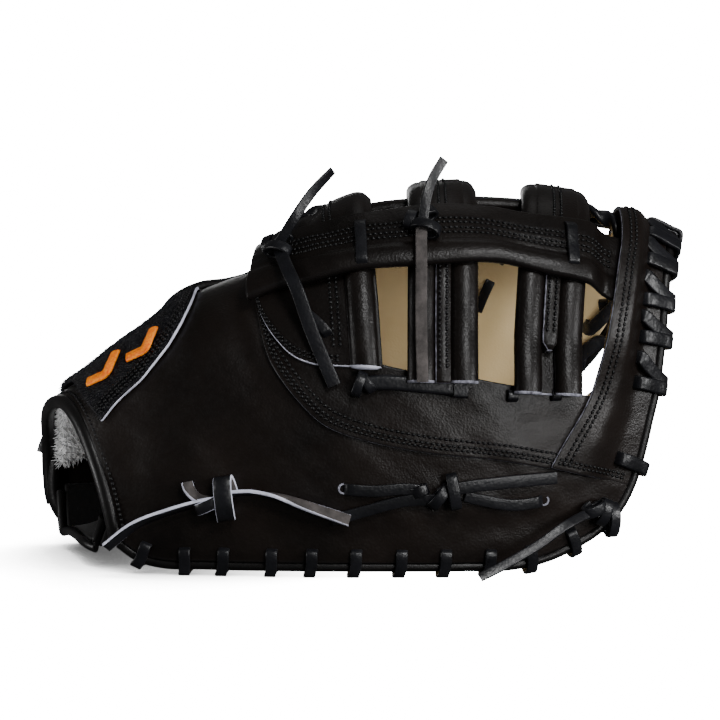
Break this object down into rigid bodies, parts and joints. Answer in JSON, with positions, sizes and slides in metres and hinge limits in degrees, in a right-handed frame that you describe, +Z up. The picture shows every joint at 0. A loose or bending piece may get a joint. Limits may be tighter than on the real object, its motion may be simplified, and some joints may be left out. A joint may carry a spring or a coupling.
{
  "type": "first baseman mitt",
  "caption": "Left-hand first baseman mitt of black leather: thumb and finger halves, laced rims, single-post style web with rolled strips, tan palm, soft wrist lining.",
  "frame": {"origin": "on the floor under the middle of the mitt's box, as it stands on its laced rims", "axes": "+X from the wrist to the finger tips, -Y the thumb side, +Z up through the back of the hand"},
  "size_m": [0.3362, 0.1714, 0.2105],
  "materials": {
    "tan_leather": "smooth tan leather, satin",
    "black_leather": "smooth black leather, satin, pale raw cut edges",
    "hair_on_hide": "black hair-on hide",
    "shearling": "grey shearling pile",
    "black_lace": "flat blue-black rawhide lace, waxed",
    "satin_thread": "orange satin stitch"
  },
  "bodies": {
    "root": {"palm": "tan_leather", "thumb_back": "black_leather", "finger_back": "black_leather", "thumb_collar": "black_leather", "finger_band": "black_leather", "web_base": "black_leather", "web_strip_middle": "black_leather", "web_strip_right": "black_leather", "web_core": "black_leather", "web_rail": "black_leather", "tip_panel": "black_leather", "wrist_binding": "black_leather", "heel_binding": "black_leather", "rim_welt": "black_leather", "wrist_strap": "hair_on_hide", "wrist_lining": "shearling", "rim_lace_thumb": "black_lace", "rim_lace_tip": "black_lace", "rim_lace_finger": "black_lace", "rim_knot": "black_lace", "rail_knot_left": "black_lace", "rail_knot_middle": "black_lace", "rail_lace_left": "black_lace", "rail_lace_right": "black_lace", "web_foot_lace": "black_lace", "thumb_lace_left": "black_lace", "thumb_lace_middle": "black_lace", "strap_chevron_1": "satin_thread", "strap_chevron_2": "satin_thread"}
  },
  "joints": []
}
